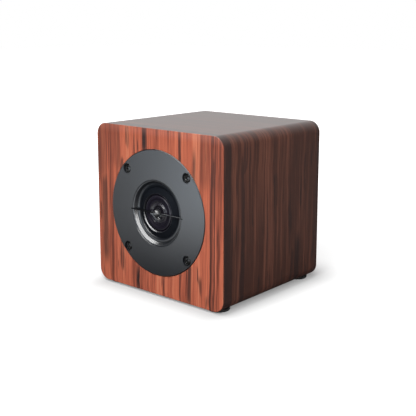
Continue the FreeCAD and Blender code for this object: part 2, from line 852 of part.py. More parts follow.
def make_terminal_cup():
    """The moulded cup: a flange on the rear face and a tapered well with a flat floor."""
    flange_back = s.cup_wall + s.cup_depth - s.cup_flange
    rim = s.cup_wall + s.cup_depth
    outline = [
        (0, 0),
        (s.cup_floor_radius + s.cup_wall, 0),
        (cup_body_radius, flange_back),
        (s.cup_flange_radius, flange_back),
        (s.cup_flange_radius, rim - s.cup_round, s.cup_round),
        (s.cup_flange_radius - s.cup_round, rim),
        (s.cup_mouth_radius + s.cup_round, rim, s.cup_round),
        (s.cup_mouth_radius, rim - s.cup_round),
        (s.cup_floor_radius, s.cup_wall),
        (0, s.cup_wall),
    ]
    blank = turned("cup_blank", outline, 0, cup_inside, s.terminal_height)
    tools = cup_screw_bores("cup", cup_face - s.cup_flange - OVERRUN,
                            s.cup_flange + 2 * OVERRUN)
    for name, side in (("left", -1), ("right", 1)):
        tools.append(rod(f"cup_post_hole_{name}", s.stud_radius + s.pilot_clearance,
                         s.cup_wall + 2 * OVERRUN, side * s.post_spacing / 2,
                         cup_inside - OVERRUN, s.terminal_height))
    keep(cut("terminal_cup", blank, tools))


def make_cup_gasket():
    inner = cup_body_radius + s.plate_clearance
    outer = s.cup_flange_radius - s.gasket_inset
    ring = turned("cup_gasket_blank", ring_outline(inner, outer, s.cup_gasket), 0,
                  s.cabinet_depth, s.terminal_height)
    keep(cut("cup_gasket_ring", ring,
             cup_screw_bores("cup_gasket", s.cabinet_depth - OVERRUN,
                             s.cup_gasket + 2 * OVERRUN)))


def cup_screw_bores(name, depth, length):
    bores = []
    for index, (across, up) in enumerate(ring_places(s.cup_screw_circle), start=1):
        bores.append(rod(f"{name}_bore_{index}", s.cup_screw_radius + s.pilot_clearance, length,
                         across, depth, s.terminal_height + up))
    return bores


def make_cup_screws():
    """Four pan-head screws through the cup's flange into the rear panel."""
    dome = s.cup_head_height / 2
    dome_round = (s.cup_head_radius * s.cup_head_radius + dome * dome) / (2 * dome)
    total = s.cup_screw_length + s.cup_head_height
    outline = [
        (0, 0),
        (s.cup_screw_radius, SCREW_POINT_IN_RADII * s.cup_screw_radius),
        (s.cup_screw_radius, s.cup_screw_length),
        (s.cup_head_radius, s.cup_screw_length),
        (s.cup_head_radius, total - dome, dome_round),
        (0, total),
    ]
    screws = []
    for index, (across, up) in enumerate(ring_places(s.cup_screw_circle), start=1):
        screws.append(turned(f"cup_screw_{index}", outline, across,
                             cup_face - s.cup_screw_length, s.terminal_height + up))
    keep(gathered("cup_screws", screws))


def make_post(colour, side):
    """One binding post: collar, stud with a plug socket, threaded insert and fluted cap."""
    across = side * s.post_spacing / 2
    height = s.terminal_height
    collar = ring_outline(s.stud_radius + s.pilot_clearance, s.collar_radius, s.collar_thickness)
    keep(turned(f"post_collar_{colour}", collar, across, cup_floor, height))

    stud_outside = s.collar_thickness + s.cap_length - s.cap_end
    stud_length = s.stud_inside + s.cup_wall + stud_outside
    stud = [
        (0, 0), (s.stud_radius, 0), (s.stud_radius, stud_length),
        (s.socket_radius, stud_length), (s.socket_radius, stud_length - s.socket_depth),
        (0, stud_length - s.socket_depth),
    ]
    blank = turned(f"stud_blank_{colour}", stud, across, cup_inside - s.stud_inside, height)
    wire_hole = rod(f"wire_hole_{colour}", s.wire_hole_radius,
                    2 * (s.stud_radius + OVERRUN), across,
                    cap_start + s.wire_hole_radius + s.cap_gap,
                    height - s.stud_radius - OVERRUN, UPRIGHT)
    keep(cut(f"post_stud_{colour}", blank, [wire_hole]))

    insert_bore = s.stud_radius + s.thread_clearance
    insert = ring_outline(insert_bore, s.insert_radius, s.insert_length)
    keep(turned(f"cap_insert_{colour}", insert, across, cap_start, height))

    plug_way = s.socket_radius + s.screw_clearance
    inner = s.insert_radius + s.glue_gap
    chimney = s.stud_radius + s.screw_clearance
    outline = [
        (inner, 0), (s.cap_radius - s.cap_round, 0, s.cap_round),
        (s.cap_radius, s.cap_round),
        (s.cap_radius, s.cap_length - s.cap_round, s.cap_round),
        (s.cap_radius - s.cap_round, s.cap_length),
        (plug_way, s.cap_length), (plug_way, s.cap_length - s.cap_end),
        (chimney, s.cap_length - s.cap_end), (chimney, s.insert_length + s.glue_gap),
        (inner, s.insert_length + s.glue_gap),
    ]
    cap = turned(f"cap_blank_{colour}", outline, across, cap_start, height)
    flutes = []
    for index in range(FLUTES):
        angle = math.radians(index * FULL_TURN / FLUTES)
        reach = s.cap_radius + s.flute_radius * HALF_DIAGONAL
        flutes.append(rod(f"flute_{colour}_{index + 1}", s.flute_radius,
                          s.cap_length - 2 * s.flute_inset, across + reach * math.cos(angle),
                          cap_start + s.flute_inset, height + reach * math.sin(angle)))
    keep(cut(f"post_cap_{colour}", cap, flutes))


def make_post_nuts():
    """The hexagon nuts that hold the posts from inside the cup."""
    nuts = []
    for name, side in (("left", -1), ("right", 1)):
        across = side * s.post_spacing / 2
        depth = cup_inside - s.tag_thickness - s.nut_thickness
        nut = doc.addObject("Part::Prism", f"nut_blank_{name}")
        nut.Polygon = 6
        bind(nut, "Circumradius", s.nut_flats / math.sqrt(3))
        bind(nut, "Height", s.nut_thickness)
        place(nut, across, depth, s.terminal_height, TIPPED)
        bore = rod(f"nut_bore_{name}", s.stud_radius + s.pilot_clearance,
                   s.nut_thickness + 2 * OVERRUN, across, depth - OVERRUN, s.terminal_height)
        nuts.append(cut(f"nut_{name}", nut, [bore]))
    keep(gathered("post_nuts", nuts))


def make_post_tags():
    """Solder tags under the nuts, their tongues hanging down."""
    tags = []
    for name, side in (("left", -1), ("right", 1)):
        across = side * s.post_spacing / 2
        depth = cup_inside - s.tag_thickness
        disc = rod(f"tag_disc_{name}", s.tag_radius, s.tag_thickness, across, depth,
                   s.terminal_height)
        tongue = block(f"tag_tongue_{name}", s.tag_width, s.tag_thickness, s.tag_length, across,
                       depth, s.terminal_height - s.tag_length)
        bore = rod(f"tag_bore_{name}", s.stud_radius + s.pilot_clearance,
                   s.tag_thickness + 2 * OVERRUN, across, depth - OVERRUN, s.terminal_height)
        tags.append(cut(f"tag_{name}", fused(f"tag_blank_{name}", [disc, tongue]), [bore]))
    keep(gathered("post_tags", tags))


# Inside: the filter that keeps the bass away from the dome, its wiring and the filling.


def make_filter():
    board = block("board_blank", s.board_width, s.board_length, s.filter_board_thickness, 0,
                  s.board_centre - s.board_length / 2, inner_floor)
    holes = []
    screws = []
    for name, side in (("left", -1), ("right", 1)):
        across = side * board_screw_reach
        holes.append(rod(f"board_hole_{name}", s.board_screw_radius + s.pilot_clearance,
                         s.filter_board_thickness + 2 * OVERRUN, across, s.board_centre,
                         inner_floor - OVERRUN, UPRIGHT))
        outline = screw_outline(2 * s.board_screw_radius, s.screw_head_rim, s.screw_head_dome,
                                s.board_screw_radius, s.board_screw_length)
        head = s.screw_head_rim + s.screw_head_dome
        screws.append(turned(f"board_screw_{name}", outline, across, s.board_centre,
                             board_top + head, TIPPED))
    keep(cut("filter_board", board, holes))
    keep(gathered("board_screws", screws))
    along_width = FreeCAD.Rotation(FreeCAD.Vector(0, 1, 0), 90)
    keep(rod("capacitor", s.capacitor_radius, s.capacitor_length, -s.capacitor_length / 2,
             s.board_centre, board_top + s.capacitor_radius, along_width))


def make_filling():
    """The wad of fibre behind the driver, in the upper half of the cabinet."""
    top = centre_height + inner_half_height - s.filling_gap
    bottom = centre_height + s.filling_rise
    half_width = inner_half_width - s.filling_gap
    half_rise = (top - bottom) / 2
    outline = rounded_rectangle(half_width, half_rise, s.filling_round)
    start = chamber_back + s.filling_front_gap
    length = cup_inside - s.filling_rear_gap - start
    keep(extruded("damping_wad", [outline], length, 0, start, bottom + half_rise))


def lead(label, points):
    """An insulated wire through the points, its runs joined by arcs as large as they allow."""
    path = [FreeCAD.Vector(a.value, (front_face + d).value, z.value) for a, d, z in points]
    edges = []
    start = path[0]
    radii = []
    for before, corner, after in zip(path, path[1:], path[2:]):
        incoming = (corner - before).normalize()
        outgoing = (after - corner).normalize()
        turn = incoming.getAngle(outgoing)
        reach = ARC_SHARE * min((corner - before).Length, (after - corner).Length)
        radius = reach / math.tan(turn / 2)
        radii.append(radius)
        first = corner - incoming * reach
        last = corner + outgoing * reach
        inward = (outgoing - incoming).normalize()
        centre = corner + inward * (radius / math.cos(turn / 2))
        middle = centre - inward * radius
        edges.append(Part.LineSegment(start, first).toShape())
        edges.append(Part.Arc(first, middle, last).toShape())
        start = last
    edges.append(Part.LineSegment(start, path[-1]).toShape())
    wire = Part.Wire(edges)
    section = Part.Wire([Part.makeCircle(s.lead_radius.value, path[0], path[1] - path[0])])
    tube = wire.makePipeShell([section], True, False)
    expected = math.pi * s.lead_radius.value ** 2 * wire.Length
    print(f"{label}: {wire.Length:.1f} mm long, least bend {min(radii):.1f} mm, "
          f"volume {tube.Volume / expected:.4f} of section times length")
    item = doc.addObject("Part::Feature", label)
    item.Shape = tube
    return keep(item)


def make_leads():
    """Red goes from its post to the filter and on to the driver, black straight to the driver."""
    tag_face = cup_inside - s.tag_thickness
    tag_height = s.terminal_height - s.tag_length + s.tag_width / 2
    tab_end = top_plate_back + s.strip_thickness + s.tab_length
    post = s.post_spacing / 2
    tab = s.tab_spacing / 2
    pad = board_screw_reach - s.pad_inset
    rear_pad = s.board_centre + s.board_length / 2 - s.pad_inset / 2
    front_pad = s.board_centre - s.board_length / 2 + s.pad_inset / 2
    stub = s.lead_stub
    swing = s.lead_swing
    sag = s.lead_sag
    lead("lead_post_to_filter", [
        (post, tag_face, tag_height),
        (post, tag_face - stub, tag_height),
        (pad, rear_pad, board_top + stub),
        (pad, rear_pad, board_top),
    ])
    lead("lead_filter_to_driver", [
        (pad, front_pad, board_top),
        (pad, front_pad, board_top + stub),
        (tab + swing / 2, tab_end + 2.6 * stub, strip_middle - sag / 2),
        (tab, tab_end + stub, strip_middle),
        (tab, tab_end, strip_middle),
    ])
    lead("lead_post_to_driver", [
        (-post, tag_face, tag_height),
        (-post, tag_face - stub, tag_height),
        (-post - swing, tag_face - 2.6 * stub, tag_height - 2 * sag),
        (-tab - swing, tab_end + 3.6 * stub, strip_middle),
        (-tab - swing / 2, tab_end + 1.8 * stub, strip_middle - sag / 4),
        (-tab, tab_end + 0.9 * stub, strip_middle),
        (-tab, tab_end, strip_middle),
    ])


def check_and_export():
    """Stops on a failed object or a bad shape, then writes one file for each sub-part."""
    doc.recompute()
    failed = [item.Label for item in doc.Objects if {"Invalid", "Error"} & set(item.State)]
    if failed:
        raise SystemExit(f"failed objects: {failed}")
    for item in kept:
        if item.Shape.isNull() or not item.Shape.isValid() or not item.Shape.Solids:
            raise SystemExit(f"bad shape: {item.Label}")
    os.makedirs("parts", exist_ok=True)
    for item in kept:
        item.Shape.exportStep(os.path.join("parts", f"{item.Label}.step"))
    print(f"{len(kept)} sub-parts written")


make_walls()
make_wrap()
make_face_veneers()
make_baffle()
make_rear_panel()
make_feet()
make_faceplate()
make_phase_bar()
make_plate_gasket()
make_faceplate_screws()
make_dome()
make_surround()
make_coil()
make_carrier()
make_motor()
make_rear_chamber()
make_motor_screws()
make_tabs()
make_terminal_cup()
make_cup_gasket()
make_cup_screws()
make_post("black", -1)
make_post("red", 1)
make_post_nuts()
make_post_tags()
make_filter()
make_filling()
make_leads()
check_and_export()
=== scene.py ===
"""A small wooden tweeter cabinet: rosewood-pattern veneer round a mitred box, a dished black
faceplate with a dipped diaphragm, a bar and a ball, rubber pads, and a recessed terminal cup."""

import math

import bmesh
import bpy
from mathutils import Matrix, Vector, noise


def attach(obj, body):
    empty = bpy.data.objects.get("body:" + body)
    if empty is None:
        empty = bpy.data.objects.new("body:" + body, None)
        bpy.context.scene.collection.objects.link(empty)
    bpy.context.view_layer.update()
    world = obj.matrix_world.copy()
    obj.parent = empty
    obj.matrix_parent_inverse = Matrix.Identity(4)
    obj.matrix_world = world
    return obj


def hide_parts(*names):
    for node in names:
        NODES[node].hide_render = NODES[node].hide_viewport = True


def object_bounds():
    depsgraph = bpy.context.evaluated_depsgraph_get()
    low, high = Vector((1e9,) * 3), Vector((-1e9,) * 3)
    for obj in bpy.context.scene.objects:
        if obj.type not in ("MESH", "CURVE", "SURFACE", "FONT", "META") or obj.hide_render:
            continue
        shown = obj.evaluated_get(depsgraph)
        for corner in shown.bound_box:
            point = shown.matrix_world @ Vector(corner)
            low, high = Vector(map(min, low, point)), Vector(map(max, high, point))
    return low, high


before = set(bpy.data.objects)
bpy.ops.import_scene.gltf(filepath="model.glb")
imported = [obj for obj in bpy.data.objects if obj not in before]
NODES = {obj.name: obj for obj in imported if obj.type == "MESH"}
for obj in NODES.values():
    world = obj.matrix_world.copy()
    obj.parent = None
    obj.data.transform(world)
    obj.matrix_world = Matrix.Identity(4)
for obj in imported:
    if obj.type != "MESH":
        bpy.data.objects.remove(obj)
cad_low, cad_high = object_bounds()
MM = 0.001
MERGE_DISTANCE = 1e-7
RUFFLE_PITCH = 0.9
DRIVER_HEIGHT = 70.7
CUP_HEIGHT = 62.0


# The photograph's camera.

PHOTO_WIDTH = 416
FOCAL_PIXELS = 778.4
SENSOR = 36.0
CAMERA_PLACE = (0.432544, -0.499866, 0.219144)
CAMERA_YAW = 41.005
CAMERA_PITCH = 10.194
CAMERA_RISE = -0.1


def make_camera():
    data = bpy.data.cameras.new("photo_camera")
    data.sensor_width = SENSOR
    data.lens = FOCAL_PIXELS / PHOTO_WIDTH * SENSOR
    data.shift_y = CAMERA_RISE
    data.clip_start = 0.01
    data.clip_end = 20
    camera = bpy.data.objects.new("photo_camera", data)
    camera.location = CAMERA_PLACE
    camera.rotation_euler = (
        math.radians(90 - CAMERA_PITCH),
        0,
        math.radians(CAMERA_YAW),
    )
    bpy.context.scene.collection.objects.link(camera)
    bpy.context.scene.camera = camera


make_camera()


# Materials are written as arithmetic on their sockets.


class Value:
    """A number that changes over a surface. Arithmetic on it adds Math nodes."""

    def __init__(self, finish, socket):
        self.finish = finish
        self.socket = socket

    def math(self, operation, *others, clamp=False):
        settings = {"operation": operation, "use_clamp": clamp}
        made = self.finish.add("ShaderNodeMath", settings, (self,) + others)
        return Value(self.finish, made.outputs[0])

    def __add__(self, other):
        return self.math("ADD", other)

    def __radd__(self, other):
        return self.math("ADD", other)

    def __sub__(self, other):
        return self.math("SUBTRACT", other)

    def __rsub__(self, other):
        return (self * -1) + other

    def __mul__(self, other):
        return self.math("MULTIPLY", other)

    def __rmul__(self, other):
        return self.math("MULTIPLY", other)

    def __truediv__(self, other):
        return self.math("DIVIDE", other)

    def __pow__(self, other):
        return self.math("POWER", other)

    def size(self):
        return self.math("ABSOLUTE")

    def held(self):
        """The value kept between 0 and 1."""
        return self.math("ADD", 0.0, clamp=True)

    def most(self, other):
        return self.math("MAXIMUM", other)

    def step(self, low, high):
        """0 below low, 1 above high, smooth in between, or the other way round."""
        settings = {"interpolation_type": "SMOOTHSTEP", "clamp": True}
        if low > high:
            return 1 - self.step(high, low)
        made = self.finish.add("ShaderNodeMapRange", settings, (self, low, high, 0.0, 1.0))
        return Value(self.finish, made.outputs[0])


class Finish:
    """One material, with a Principled shader that its methods feed."""

    def __init__(self, name):
        self.material = bpy.data.materials.new(name)
        self.material.use_nodes = True
        self.tree = self.material.node_tree
        self.tree.nodes.clear()
        self.shader = self.tree.nodes.new("ShaderNodeBsdfPrincipled")
        self.output = self.tree.nodes.new("ShaderNodeOutputMaterial")
        self.tree.links.new(self.shader.outputs[0], self.output.inputs[0])
        self.place = self.add("ShaderNodeTexCoord").outputs["Object"]

    def add(self, kind, settings=None, inputs=()):
        """Adds a node: settings first, then inputs by order or by name."""
        made = self.tree.nodes.new(kind)
        for name, setting in (settings or {}).items():
            setattr(made, name, setting)
        pairs = inputs.items() if isinstance(inputs, dict) else enumerate(inputs)
        for key, given in pairs:
            if given is not None:
                self.feed(made.inputs[key], given)
        return made

    def feed(self, socket, given):
        if isinstance(given, Value):
            given = given.socket
        if isinstance(given, bpy.types.NodeSocket):
            self.tree.links.new(given, socket)
        elif socket.type == "RGBA" and len(given) == 3:
            socket.default_value = (*given, 1.0)
        else:
            socket.default_value = given

    def axes(self):
        """The three Object coordinates, in millimetres."""
        parts = self.add("ShaderNodeSeparateXYZ", {}, (self.place,))
        return [Value(self, parts.outputs[i]) * 1000.0 for i in range(3)]

    def at(self, x, y, z):
        """A point for a pattern, put together from values."""
        return self.add("ShaderNodeCombineXYZ", {}, (x, y, z)).outputs[0]

    def stretched(self, factors):
        """The Object coordinates in millimetres, times a factor along each axis."""
        settings = {"operation": "MULTIPLY"}
        scale = tuple(1000.0 * f for f in factors)
        return self.add("ShaderNodeVectorMath", settings, (self.place, scale)).outputs[0]

    def noise(self, point, scale=1.0, detail=3.0, roughness=0.5, distortion=0.0):
        inputs = {
            "Vector": point,
            "Scale": scale,
            "Detail": detail,
            "Roughness": roughness,
            "Distortion": distortion,
        }
        made = self.add("ShaderNodeTexNoise", {}, inputs)
        return Value(self, made.outputs[0])

    def ramp(self, factor, *stops):
        """A colour along stops of (position, colour)."""
        made = self.add("ShaderNodeValToRGB", {}, (factor,))
        elements = made.color_ramp.elements
        while len(elements) < len(stops):
            elements.new(0.5)
        for element, (position, colour) in zip(elements, stops):
            element.position = position
            element.color = (*colour, 1.0)
        return made.outputs[0]

    def mix(self, factor, first, second):
        made = self.add("ShaderNodeMix", {"data_type": "RGBA"})
        self.feed(made.inputs[0], factor)
        self.feed(made.inputs[6], first)
        self.feed(made.inputs[7], second)
        return made.outputs[2]

    def bump(self, height, distance, strength=1.0):
        """Raises the surface by height times distance, in metres."""
        inputs = {"Strength": strength, "Distance": distance, "Height": height}
        made = self.add("ShaderNodeBump", {}, inputs)
        self.feed(self.shader.inputs["Normal"], made.outputs[0])

    def wear(self, **inputs):
        """Sets the shader's sockets, with underscores for the spaces in their names."""
        for name, given in inputs.items():
            self.feed(self.shader.inputs[name.replace("_", " ")], given)
        return self


# Veneer. The grain runs up the front and round the four walls.

VEIN_BLACK = (0.022, 0.012, 0.011)
WOOD_DARK = (0.095, 0.026, 0.016)
WOOD_RED = (0.25, 0.062, 0.034)
WOOD_WARM = (0.300, 0.080, 0.042)
WOOD_LIGHT = (0.34, 0.112, 0.062)
# The walls' tint and tone darken and cool them: partly the wood's own colour, partly painted shade.
WALL_TINT_AND_PAINTED_SHADE = (0.46, 0.68, 0.80)
WALL_SHADE = -0.34
REAR_SHADE = -0.1
VEIN_END_FADE = 9.0
# Heights in mm where the coat that paints the top's sheen starts.
TOP_PAINTED_SHEEN = (131.0, 138.5)


def rosewood(name, across_axis, veins, shade, contrast=1.0, tint_and_painted_shade=(1.0, 1.0, 1.0)):
    """Rosewood-pattern veneer. Veins are (place, half width, darkness, low, high) in mm.

    Only the top has a coat, which paints a sheen on it. It starts between two heights given above.
    """
    wood = Finish(name)
    x, y, height = wood.axes()
    across = (x, y, height)[across_axis]
    soft = [0.012, 0.012, 0.012]
    soft[across_axis] = 0.0
    drift = wood.noise(wood.stretched(soft), 1.0, 2.0) - 0.5
    wave = wood.noise(wood.stretched([f * 3.3 for f in soft]), 1.0, 2.0) - 0.5
    bent = across + drift * 7.0 + wave * 1.6

    def grain(pitch, along, detail=2.0, roughness=0.55):
        """Noise drawn out along the grain, pitch mm wide and along mm long."""
        lie = [1.0 / along] * 3
        lie[across_axis] = 0.0
        run = wood.stretched(lie)
        parts = wood.add("ShaderNodeSeparateXYZ", {}, (run,))
        places = [Value(wood, parts.outputs[i]) for i in range(3)]
        places[across_axis] = bent / pitch
        return wood.noise(wood.at(*places), 1.0, detail, roughness)

    broad = grain(13.0, 300.0, 2.0)
    middle = grain(3.4, 170.0, 3.0, 0.6)
    fine = grain(0.95, 55.0, 3.0, 0.65)
    pores = grain(0.42, 6.0, 2.0, 0.6)
    spread = (broad - 0.5) * 1.0 + (middle - 0.5) * 1.5 + (fine - 0.5) * 1.1
    tone = spread * contrast + 0.43 + shade
    stops = ((0.08, WOOD_DARK), (0.42, WOOD_RED), (0.60, WOOD_WARM), (0.86, WOOD_LIGHT))
    # For the walls the tint is partly painted shade.
    tinted = [(at, tuple(c * k for c, k in zip(shade_of, tint_and_painted_shade))) for at, shade_of in stops]
    colour = wood.ramp(tone, *tinted)
    lines = (grain(6.5, 240.0, 2.0) - 0.5).size().step(0.035, 0.012)
    gate = grain(9.0, 34.0, 1.0).step(0.50, 0.60)
    dark = lines * gate * 0.7
    frayed = (middle - 0.5) * 3.0 + (fine - 0.5) * 5.0
    for place, half, darkness, low, high in veins:
        reach = ((bent - place) / half).size() + frayed * 0.35
        starts = height.step(low - VEIN_END_FADE, low + VEIN_END_FADE)
        span = starts * height.step(high + VEIN_END_FADE, high - VEIN_END_FADE)
        dark = dark.most(reach.step(1.35, 0.35) * span * darkness)
    colour = wood.mix(dark.held(), colour, VEIN_BLACK)
    pits = pores.step(0.36, 0.27) * 0.55
    colour = wood.mix(pits, colour, WOOD_DARK)
    wood.wear(
        Base_Color=colour,
        Roughness=(fine * 0.10 + 0.45) + pits * 0.1,
        IOR=1.22,
        Coat_Weight=height.step(*TOP_PAINTED_SHEEN),
        Coat_Roughness=0.34,
        Coat_IOR=1.34,
    )
    wood.bump(fine * 0.4 - pits, 0.00004, 0.6)
    return wood


FRONT_VEINS = [
    (-65.0, 7.0, 0.45, 92.0, 140.0),
    (66.0, 5.0, 0.35, 95.0, 140.0),
    (50.0, 7.0, 0.4, 98.0, 140.0),
    (-51.0, 5.0, 0.35, 104.0, 140.0),
    (-62.0, 5.0, 0.75, 20.0, 95.0),
    (-45.0, 2.6, 0.55, 100.0, 140.0),
    (-14.0, 2.7, 1.0, 118.0, 140.0),
    (25.0, 1.3, 0.8, 108.0, 140.0),
    (40.0, 2.0, 0.7, 70.0, 124.0),
    (57.5, 0.9, 0.75, 0.0, 140.0),
    (61.5, 0.8, 0.8, 0.0, 140.0),
    (-22.0, 2.4, 1.0, 0.0, 22.0),
    (8.0, 0.8, 0.8, 0.0, 22.0),
    (35.5, 2.6, 0.85, 0.0, 42.0),
]
SIDE_VEINS = [
    (-60.0, 6.0, 0.8, 0.0, 140.0),
    (-42.0, 3.0, 0.75, 0.0, 120.0),
    (-10.0, 0.9, 0.85, 30.0, 90.0),
    (33.0, 4.0, 0.9, 0.0, 44.0),
    (62.0, 5.0, 0.7, 0.0, 140.0),
]


def plain_finish(name, colour, roughness, grain=0.4, variation=0.15, bump=0.00002, **more):
    """A moulded, cast or pressed surface: one colour with fine mottling and a fine grain."""
    made = Finish(name)
    point = made.stretched((1.0, 1.0, 1.0))
    cloud = made.noise(point, 0.09, 3.0)
    speck = made.noise(point, 1.0 / grain, 2.0)
    darker = tuple(c * (1 - variation) for c in colour)
    lighter = tuple(min(1.0, c * (1 + variation)) for c in colour)
    made.wear(
        Base_Color=made.mix((cloud * 0.6 + speck * 0.4).step(0.35, 0.65), darker, lighter),
        Roughness=(cloud - 0.5) * 0.12 + (speck - 0.5) * 0.08 + roughness,
        **more,
    )
    made.bump(speck, bump)
    return made


def from_axis(finish):
    """The distance from the driver's axis, in millimetres."""
    x, y, z = finish.axes()
    up = z - DRIVER_HEIGHT
    return (x * x + up * up) ** 0.5


# These coats start and stop where the photograph's light does. Each pair is a soft edge in mm.

# The dish's coat, with its lean, is a painted sheen placed where the light falls.
DISH_PAINTED_SHEEN = (21.6, 24.2)
DISH_PAINTED_SHEEN_LEAN = 1.2
DISH_PAINTED_SHEEN_ACROSS = 0.6
DISH_PAINTED_SHEEN_UP = 1.3
THROAT_EDGE = (16.25, 16.0)
BALL_EDGE = (3.9, 3.3)
# The next two place a painted highlight on the upper edge of the bar's right half.
BAR_HIGHLIGHT_TOP_EDGE = (70.85, 71.1)
BAR_HIGHLIGHT_RIGHT_HALF = (3.0, 8.0)
DOME_LACQUER_EDGE = (9.8, 9.2)
ROLL_LINE_INNER = (13.3, 13.6)
ROLL_LINE_OUTER = (14.3, 13.9)


def satin_paint_with_painted_sheen():
    """The faceplate: satin paint, matt in the dish and further out at its upper right. This one-sided
    coat is a painted sheen, glossy further in at the lower left where the light falls.
    """
    made = plain_finish("satin_black", (0.004, 0.005, 0.007), 0.55, 0.25, 0.1, 0.000008)
    x, y, z = made.axes()
    out = from_axis(made)
    # Painted sheen: the coat reaches further in at the lower left, where the light falls.
    toward = (x * DISH_PAINTED_SHEEN_ACROSS + (z - DRIVER_HEIGHT) * DISH_PAINTED_SHEEN_UP) / out
    sheen = (out - toward * DISH_PAINTED_SHEEN_LEAN).step(*DISH_PAINTED_SHEEN)
    throat = out.step(*THROAT_EDGE)
    made.wear(IOR=1.12, Coat_Weight=sheen.most(throat), Coat_Roughness=0.30, Coat_IOR=1.8)
    return made


def bar_paint_with_painted_highlight():
    """The bar is matt and its ball glossy. The gloss on the upper edge of its right half is a painted
    highlight.
    """
    made = plain_finish("bar_black_with_painted_highlight", (0.004, 0.004, 0.005), 0.6, 0.3, 0.1, 0.000006)
    x, y, z = made.axes()
    ball = from_axis(made).step(*BALL_EDGE)
    # A painted highlight: gloss only along the upper edge of the bar's right half.
    edge = z.step(*BAR_HIGHLIGHT_TOP_EDGE) * x.step(*BAR_HIGHLIGHT_RIGHT_HALF)
    made.wear(IOR=1.12, Coat_Weight=ball.most(edge), Coat_Roughness=0.4, Coat_IOR=2.2)
    return made


def dome_lacquer():
    """Lacquer over the dome, which stops short of its glued rim."""
    made = plain_finish("dome_lacquer", (0.007, 0.006, 0.010), 0.5, 0.5, 0.1, 0.000004, IOR=1.15)
    lacquer = from_axis(made).step(*DOME_LACQUER_EDGE)
    made.wear(Coat_Weight=lacquer, Coat_Roughness=0.16, Coat_IOR=1.8)
    return made


def roll_lacquer():
    """The surround: dull, with a line of lacquer round its outer foot."""
    made = plain_finish("surround_cloth", (0.006, 0.005, 0.009), 0.5, 0.3, 0.2, 0.000006, IOR=1.15)
    out = from_axis(made)
    line = out.step(*ROLL_LINE_INNER) * out.step(*ROLL_LINE_OUTER)
    made.wear(Coat_Weight=line, Coat_Roughness=0.3, Coat_IOR=1.7)
    return made


def dress(node, finish):
    mesh = NODES[node].data
    mesh.materials.clear()
    mesh.materials.append(finish.material)


satin_black = satin_paint_with_painted_sheen()
bar_black_with_painted_highlight = bar_paint_with_painted_highlight()
screw_black = plain_finish("blackened_screw", (0.003, 0.003, 0.003), 0.24, 0.3, 0.1, 0.000004)
rubber = plain_finish("foot_rubber", (0.012, 0.012, 0.012), 0.75, 0.5, 0.2, 0.00005)
moulded = plain_finish("moulded_black", (0.018, 0.018, 0.019), 0.5, 0.35, 0.15, 0.00003)
dome_coat = dome_lacquer()
roll_coat = roll_lacquer()
fibreboard = plain_finish("raw_fibreboard", (0.40, 0.27, 0.15), 0.85, 0.5, 0.25, 0.00008)
zinc = plain_finish("zinc_steel", (0.60, 0.60, 0.58), 0.3, 0.5, 0.08, 0.00001, Metallic=1.0)
ferrite = plain_finish("ferrite", (0.045, 0.045, 0.05), 0.55, 0.6, 0.2, 0.00004)
board = plain_finish("fibre_board", (0.20, 0.11, 0.045), 0.5, 0.5, 0.2, 0.00003)
tin = plain_finish("tinned_brass", (0.66, 0.62, 0.52), 0.3, 0.5, 0.08, 0.00001, Metallic=1.0)
nickel = plain_finish("nickel_brass", (0.70, 0.63, 0.48), 0.22, 0.5, 0.06, 0.000008, Metallic=1.0)
foil = plain_finish("former_foil", (0.75, 0.75, 0.77), 0.25, 0.5, 0.05, 0.00001, Metallic=1.0)
copper = plain_finish("copper_winding", (0.62, 0.24, 0.10), 0.3, 0.2, 0.1, 0.00003, Metallic=1.0)
felt = plain_finish("felt", (0.38, 0.38, 0.36), 0.95, 0.3, 0.25, 0.0002)
foam = plain_finish("gasket_foam", (0.02, 0.02, 0.02), 0.9, 0.4, 0.3, 0.0001)
post_black = plain_finish("post_black", (0.012, 0.012, 0.012), 0.2, 0.5, 0.1, 0.00001)
post_red = plain_finish("post_red", (0.40, 0.008, 0.008), 0.2, 0.5, 0.08, 0.00001)
film = plain_finish("capacitor_film", (0.55, 0.38, 0.04), 0.25, 1.0, 0.1, 0.00001)
wad = plain_finish("fibre_wad", (0.75, 0.75, 0.73), 0.95, 0.6, 0.2, 0.0004)
lead_red = plain_finish("lead_red", (0.35, 0.01, 0.01), 0.4, 0.5, 0.1, 0.00001)
lead_black = plain_finish("lead_black", (0.015, 0.015, 0.015), 0.4, 0.5, 0.1, 0.00001)

# The walls are written darker and bluer than the front, partly the wood's own tone and partly painted
# shade.
front_rosewood = rosewood("rosewood_front", 0, FRONT_VEINS, 0.0)
wall_rosewood_with_painted_shade = rosewood("rosewood_walls_with_painted_shade", 1, SIDE_VEINS, WALL_SHADE, 0.75, WALL_TINT_AND_PAINTED_SHADE)
rear_rosewood = rosewood("rosewood_rear", 0, [], REAR_SHADE)

